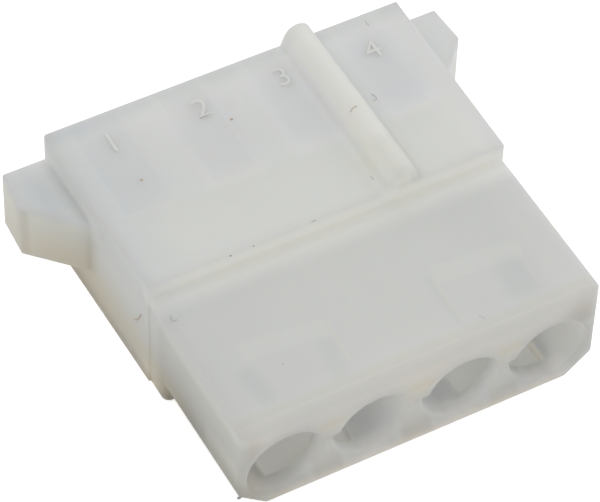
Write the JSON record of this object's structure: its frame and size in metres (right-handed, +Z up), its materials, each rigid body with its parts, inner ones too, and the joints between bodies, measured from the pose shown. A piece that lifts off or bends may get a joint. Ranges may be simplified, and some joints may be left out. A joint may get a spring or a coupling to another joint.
{
  "type": "wire to board connector housing",
  "caption": "One-piece nylon connector housing with a chamfered nose, round wells joined by slots, a thicker wire end with two ears, and a round-topped finger rib.",
  "frame": {"origin": "middle of the footprint, on the plane of the body's underside", "axes": "+X across the circuits from circuit 1 to the last, +Y from the mating face to the wire face, +Z up through the ribbed top"},
  "size_m": [0.026, 0.0212, 0.0087],
  "materials": {
    "natural_nylon": "translucent, softly glossy natural nylon"
  },
  "bodies": {
    "root": {"housing": "natural_nylon"}
  },
  "joints": []
}
